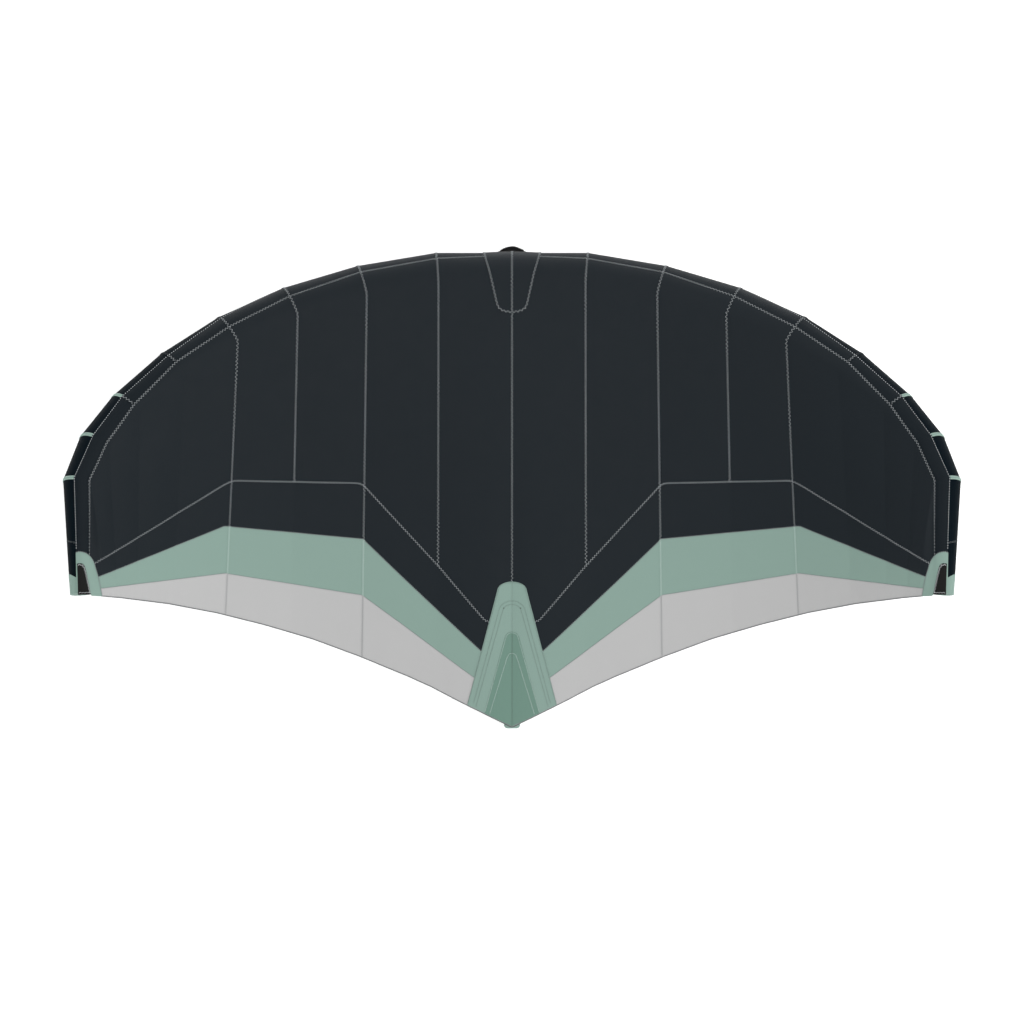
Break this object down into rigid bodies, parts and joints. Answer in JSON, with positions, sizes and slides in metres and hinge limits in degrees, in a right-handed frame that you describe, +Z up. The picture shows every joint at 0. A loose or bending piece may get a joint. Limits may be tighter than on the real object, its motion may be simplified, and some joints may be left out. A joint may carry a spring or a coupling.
{
  "type": "wingfoil wing",
  "caption": "Inflatable hand wing for foiling: air-filled leading edge and centre strut, sewn canopy, grab handles, valve and hose. Rests level on its tube and strut end.",
  "frame": {"origin": "centre of the wing's footprint on the ground it rests on, halfway between nose handle and strut end", "axes": "+X along the span, +Y towards the leading edge, +Z up, off the canopy's smooth side"},
  "size_m": [3.4114, 1.8324, 0.6091],
  "materials": {
    "navy_casing": "woven polyester, satin",
    "charcoal_cloth": "coated ripstop, satin",
    "sage_cloth": "coated ripstop, satin",
    "deep_sage_cloth": "coated cloth, satin",
    "grey_cloth": "coated ripstop, satin",
    "black_webbing": "woven webbing, matt",
    "black_foam": "foam sleeve, matt",
    "bladder_film": "translucent film",
    "valve_plastic": "moulded, satin",
    "valve_grey": "moulded, satin",
    "hose_rubber": "matt",
    "zip_plastic": "coil zip, satin"
  },
  "bodies": {
    "wing": {"band_center_L": "sage_cloth", "band_center_R": "sage_cloth", "band_mid_L": "sage_cloth", "band_mid_R": "sage_cloth", "band_tip_L": "sage_cloth", "band_tip_R": "sage_cloth", "canopy_center_L": "charcoal_cloth", "canopy_center_R": "charcoal_cloth", "canopy_mid_L": "charcoal_cloth", "canopy_mid_R": "charcoal_cloth", "canopy_tip_L": "charcoal_cloth", "canopy_tip_R": "charcoal_cloth", "crossover_hose": "hose_rubber", "front_handle_pad": "black_webbing", "hose_clamp": "valve_plastic", "le_bladder": "bladder_film", "le_sleeve_center": "navy_casing", "le_sleeve_inner_L": "navy_casing", "le_sleeve_inner_R": "navy_casing", "le_sleeve_mid_L": "navy_casing", "le_sleeve_mid_R": "navy_casing", "le_sleeve_outer_L": "navy_casing", "le_sleeve_outer_R": "navy_casing", "le_sleeve_tip_L": "navy_casing", "le_sleeve_tip_R": "navy_casing", "le_tip_end_L": "sage_cloth", "le_tip_end_R": "sage_cloth", "nose_patch": "charcoal_cloth", "rear_center_L": "grey_cloth", "rear_center_R": "grey_cloth", "rear_handle_pad": "black_webbing", "rear_mid_L": "grey_cloth", "rear_mid_R": "grey_cloth", "rear_tip_L": "grey_cloth", "rear_tip_R": "grey_cloth", "strut_bladder": "bladder_film", "strut_sleeve": "navy_casing", "strut_tail_end": "sage_cloth", "strut_zip": "zip_plastic", "tail_patch": "sage_cloth", "tail_patch_inner": "deep_sage_cloth", "tip_patch_L": "sage_cloth", "tip_patch_R": "sage_cloth", "tip_scuff_patch_L": "black_webbing", "tip_scuff_patch_R": "black_webbing", "trailing_edge_hem_L": "black_webbing", "trailing_edge_hem_R": "black_webbing", "valve_base": "valve_plastic"},
    "front_handle": {"front_handle_grip": "black_foam", "front_handle_webbing": "black_webbing"},
    "rear_handle": {"rear_handle_grip": "black_foam", "rear_handle_webbing": "black_webbing"},
    "nose_handle": {"nose_handle_pad": "black_foam", "nose_handle_webbing": "black_webbing"},
    "leash_loop": {"leash_loop": "black_webbing"},
    "valve_insert": {"valve_insert": "valve_grey"},
    "valve_plunger": {"valve_plunger": "valve_plastic"},
    "valve_cap": {"valve_cap": "valve_plastic"},
    "hose_clamp_lever": {"hose_clamp_lever": "valve_plastic"},
    "strut_zip_slider": {"strut_zip_slider": "zip_plastic"}
  },
  "joints": [
    {"name": "front_handle_swing", "type": "hinge", "parent": "wing", "child": "front_handle", "pos_m": [0, 0.385, 0.10163], "axis": [0, 0.9998, -0.0181], "range_deg": [-80, 80]},
    {"name": "rear_handle_swing", "type": "hinge", "parent": "wing", "child": "rear_handle", "pos_m": [0, -0.015, 0.09347], "axis": [0, 0.9984, 0.0565], "range_deg": [-80, 80]},
    {"name": "nose_handle_fold", "type": "hinge", "parent": "wing", "child": "nose_handle", "pos_m": [0, 0.88389, 0.05425], "axis": [1, 0, 0], "range_deg": [-35, 55]},
    {"name": "leash_loop_swing", "type": "hinge", "parent": "wing", "child": "leash_loop", "pos_m": [0, 0.592, 0.09681], "axis": [1, 0, 0], "range_deg": [-50, 50]},
    {"name": "valve_insert_turn", "type": "hinge", "parent": "wing", "child": "valve_insert", "pos_m": [0.185, 0.65891, 0.0691], "axis": [0, -0.9063, -0.4226], "range_deg": [0, 90]},
    {"name": "valve_plunger_push", "type": "slide", "parent": "valve_insert", "child": "valve_plunger", "axis": [0, 0.9063, 0.4226], "range_m": [0, 0.003], "stiffness_N_per_m": 300, "springref_m": -0.001},
    {"name": "valve_cap_hinge", "type": "hinge", "parent": "wing", "child": "valve_cap", "pos_m": [0.2075, 0.64713, 0.0636], "axis": [0, -0.4226, 0.9063], "range_deg": [0, 110]},
    {"name": "hose_clamp_close", "type": "hinge", "parent": "wing", "child": "hose_clamp_lever", "pos_m": [-0.12987, 0.55439, 0.11927], "axis": [0.1924, -0.6565, 0.7294], "range_deg": [0, 8]},
    {"name": "strut_zip_run", "type": "slide", "parent": "wing", "child": "strut_zip_slider", "axis": [-0.0289, -0.9932, -0.113], "range_m": [0, 0.14]}
  ]
}
